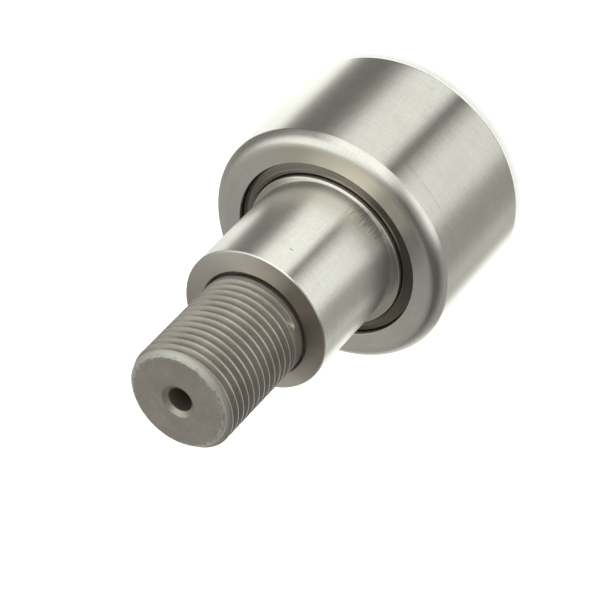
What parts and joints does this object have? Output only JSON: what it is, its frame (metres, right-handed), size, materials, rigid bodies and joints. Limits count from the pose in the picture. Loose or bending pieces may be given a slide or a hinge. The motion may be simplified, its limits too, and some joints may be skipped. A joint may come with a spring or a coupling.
{
  "type": "cam follower",
  "caption": "Stud-type cam follower: sealed needle roller ring on a stud with an eccentric bushing on the shank, a threaded end and a hexagon socket head.",
  "frame": {"origin": "centre of the head's outer face on the stud's axis, where the follower stands on its head", "axes": "+Z along the stud from its head to its threaded end; the bushing's outside is offset towards -Y"},
  "size_m": [0.0508, 0.0508, 0.0844],
  "materials": {
    "ground_steel": "ground satin steel with fine grinding lines",
    "turned_steel": "turned satin steel",
    "black_oxide_steel": "worn black oxide",
    "bearing_steel": "lapped",
    "cage_steel": "pressed and deburred",
    "seal_plastic": "matte, dark grey"
  },
  "bodies": {
    "stud": {"stud": "black_oxide_steel", "end_plate": "turned_steel", "eccentric_bushing": "ground_steel"},
    "roller": {"outer_ring": "ground_steel", "seal_stud_side": "seal_plastic", "seal_head_side": "seal_plastic"},
    "cage": {"roller_cage": "cage_steel"},
    "needle_01": {"needle_roller_01": "bearing_steel"},
    "needle_02": {"needle_roller_02": "bearing_steel"},
    "needle_03": {"needle_roller_03": "bearing_steel"},
    "needle_04": {"needle_roller_04": "bearing_steel"},
    "needle_05": {"needle_roller_05": "bearing_steel"},
    "needle_06": {"needle_roller_06": "bearing_steel"},
    "needle_07": {"needle_roller_07": "bearing_steel"},
    "needle_08": {"needle_roller_08": "bearing_steel"},
    "needle_09": {"needle_roller_09": "bearing_steel"},
    "needle_10": {"needle_roller_10": "bearing_steel"},
    "needle_11": {"needle_roller_11": "bearing_steel"},
    "needle_12": {"needle_roller_12": "bearing_steel"},
    "needle_13": {"needle_roller_13": "bearing_steel"},
    "needle_14": {"needle_roller_14": "bearing_steel"},
    "needle_15": {"needle_roller_15": "bearing_steel"},
    "needle_16": {"needle_roller_16": "bearing_steel"},
    "needle_17": {"needle_roller_17": "bearing_steel"},
    "needle_18": {"needle_roller_18": "bearing_steel"}
  },
  "joints": [
    {"name": "roller_spin", "type": "hinge", "parent": "stud", "child": "roller", "pos_m": [0, 0, 0.01625], "axis": [0, 0, 1], "continuous": true},
    {"name": "cage_orbit", "type": "hinge", "parent": "stud", "child": "cage", "pos_m": [0, 0, 0.01625], "axis": [0, 0, 1], "continuous": true},
    {"name": "needle_spin_01", "type": "hinge", "parent": "cage", "child": "needle_01", "pos_m": [0.01406, 0, 0.01625], "axis": [0, 0, 1], "continuous": true},
    {"name": "needle_spin_02", "type": "hinge", "parent": "cage", "child": "needle_02", "pos_m": [0.01321, 0.00481, 0.01625], "axis": [0, 0, 1], "continuous": true},
    {"name": "needle_spin_03", "type": "hinge", "parent": "cage", "child": "needle_03", "pos_m": [0.01077, 0.00904, 0.01625], "axis": [0, 0, 1], "continuous": true},
    {"name": "needle_spin_04", "type": "hinge", "parent": "cage", "child": "needle_04", "pos_m": [0.00703, 0.01218, 0.01625], "axis": [0, 0, 1], "continuous": true},
    {"name": "needle_spin_05", "type": "hinge", "parent": "cage", "child": "needle_05", "pos_m": [0.00244, 0.01385, 0.01625], "axis": [0, 0, 1], "continuous": true},
    {"name": "needle_spin_06", "type": "hinge", "parent": "cage", "child": "needle_06", "pos_m": [-0.00244, 0.01385, 0.01625], "axis": [0, 0, 1], "continuous": true},
    {"name": "needle_spin_07", "type": "hinge", "parent": "cage", "child": "needle_07", "pos_m": [-0.00703, 0.01218, 0.01625], "axis": [0, 0, 1], "continuous": true},
    {"name": "needle_spin_08", "type": "hinge", "parent": "cage", "child": "needle_08", "pos_m": [-0.01077, 0.00904, 0.01625], "axis": [0, 0, 1], "continuous": true},
    {"name": "needle_spin_09", "type": "hinge", "parent": "cage", "child": "needle_09", "pos_m": [-0.01321, 0.00481, 0.01625], "axis": [0, 0, 1], "continuous": true},
    {"name": "needle_spin_10", "type": "hinge", "parent": "cage", "child": "needle_10", "pos_m": [-0.01406, 0, 0.01625], "axis": [0, 0, 1], "continuous": true},
    {"name": "needle_spin_11", "type": "hinge", "parent": "cage", "child": "needle_11", "pos_m": [-0.01321, -0.00481, 0.01625], "axis": [0, 0, 1], "continuous": true},
    {"name": "needle_spin_12", "type": "hinge", "parent": "cage", "child": "needle_12", "pos_m": [-0.01077, -0.00904, 0.01625], "axis": [0, 0, 1], "continuous": true},
    {"name": "needle_spin_13", "type": "hinge", "parent": "cage", "child": "needle_13", "pos_m": [-0.00703, -0.01218, 0.01625], "axis": [0, 0, 1], "continuous": true},
    {"name": "needle_spin_14", "type": "hinge", "parent": "cage", "child": "needle_14", "pos_m": [-0.00244, -0.01385, 0.01625], "axis": [0, 0, 1], "continuous": true},
    {"name": "needle_spin_15", "type": "hinge", "parent": "cage", "child": "needle_15", "pos_m": [0.00244, -0.01385, 0.01625], "axis": [0, 0, 1], "continuous": true},
    {"name": "needle_spin_16", "type": "hinge", "parent": "cage", "child": "needle_16", "pos_m": [0.00703, -0.01218, 0.01625], "axis": [0, 0, 1], "continuous": true},
    {"name": "needle_spin_17", "type": "hinge", "parent": "cage", "child": "needle_17", "pos_m": [0.01077, -0.00904, 0.01625], "axis": [0, 0, 1], "continuous": true},
    {"name": "needle_spin_18", "type": "hinge", "parent": "cage", "child": "needle_18", "pos_m": [0.01321, -0.00481, 0.01625], "axis": [0, 0, 1], "continuous": true}
  ],
  "couplings": [
    {"joint": "cage_orbit", "follows": "roller_spin", "ratio": 0.56223},
    {"joint": "needle_spin_01", "follows": "roller_spin", "ratio": 3.9549},
    {"joint": "needle_spin_02", "follows": "roller_spin", "ratio": 3.9549},
    {"joint": "needle_spin_03", "follows": "roller_spin", "ratio": 3.9549},
    {"joint": "needle_spin_04", "follows": "roller_spin", "ratio": 3.9549},
    {"joint": "needle_spin_05", "follows": "roller_spin", "ratio": 3.9549},
    {"joint": "needle_spin_06", "follows": "roller_spin", "ratio": 3.9549},
    {"joint": "needle_spin_07", "follows": "roller_spin", "ratio": 3.9549},
    {"joint": "needle_spin_08", "follows": "roller_spin", "ratio": 3.9549},
    {"joint": "needle_spin_09", "follows": "roller_spin", "ratio": 3.9549},
    {"joint": "needle_spin_10", "follows": "roller_spin", "ratio": 3.9549},
    {"joint": "needle_spin_11", "follows": "roller_spin", "ratio": 3.9549},
    {"joint": "needle_spin_12", "follows": "roller_spin", "ratio": 3.9549},
    {"joint": "needle_spin_13", "follows": "roller_spin", "ratio": 3.9549},
    {"joint": "needle_spin_14", "follows": "roller_spin", "ratio": 3.9549},
    {"joint": "needle_spin_15", "follows": "roller_spin", "ratio": 3.9549},
    {"joint": "needle_spin_16", "follows": "roller_spin", "ratio": 3.9549},
    {"joint": "needle_spin_17", "follows": "roller_spin", "ratio": 3.9549},
    {"joint": "needle_spin_18", "follows": "roller_spin", "ratio": 3.9549}
  ]
}
